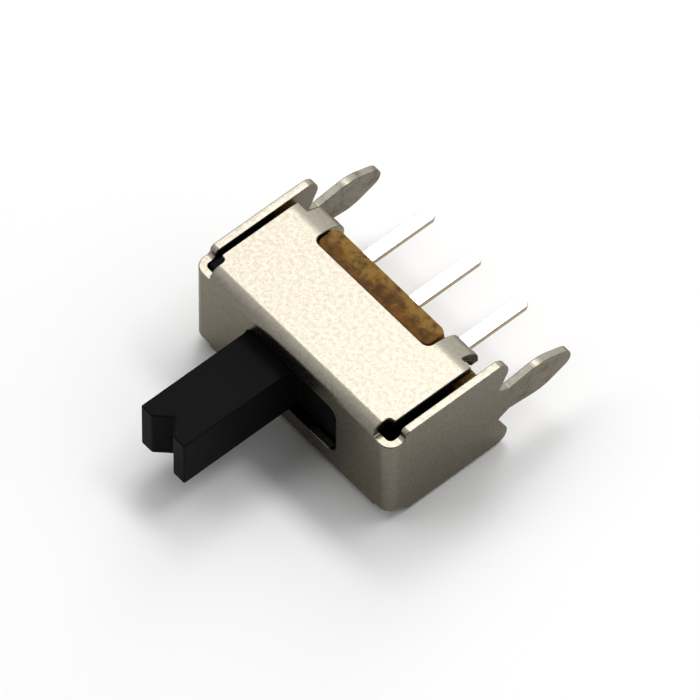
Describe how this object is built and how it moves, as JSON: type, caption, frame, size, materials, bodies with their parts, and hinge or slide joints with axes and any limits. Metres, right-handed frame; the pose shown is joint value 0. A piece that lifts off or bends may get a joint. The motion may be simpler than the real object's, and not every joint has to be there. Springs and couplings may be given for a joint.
{
  "type": "slide switch",
  "caption": "Miniature slide switch: a folded sheet-metal can with a long knob through its slot, leaf-shaped solder tabs on its ends, and flat terminals for a printed board.",
  "frame": {"origin": "on the middle terminal, in the plane of the end lobes' tips, which stand on the printed board", "axes": "+X along the slide, from the rest position towards the other position; +Y along the terminals, away from the knob; +Z across the can, square to both"},
  "size_m": [0.0126, 0.0165, 0.006],
  "materials": {
    "nickel_plate": "nickel-plated, satin, slightly mottled",
    "phenolic_board": "brown laminate with darker patches",
    "tinned_brass": "bright tin plating",
    "black_plastic": "moulded, matt",
    "spring_bronze": "bare spring strip"
  },
  "bodies": {
    "housing": {"can": "nickel_plate", "base_board": "phenolic_board", "terminal_left": "tinned_brass", "terminal_middle": "tinned_brass", "terminal_right": "tinned_brass"},
    "slider": {"slider": "black_plastic", "contact_clip": "spring_bronze"}
  },
  "joints": [
    {"name": "knob_slide", "type": "slide", "parent": "housing", "child": "slider", "axis": [1, 0, 0], "range_m": [0, 0.0028]}
  ]
}
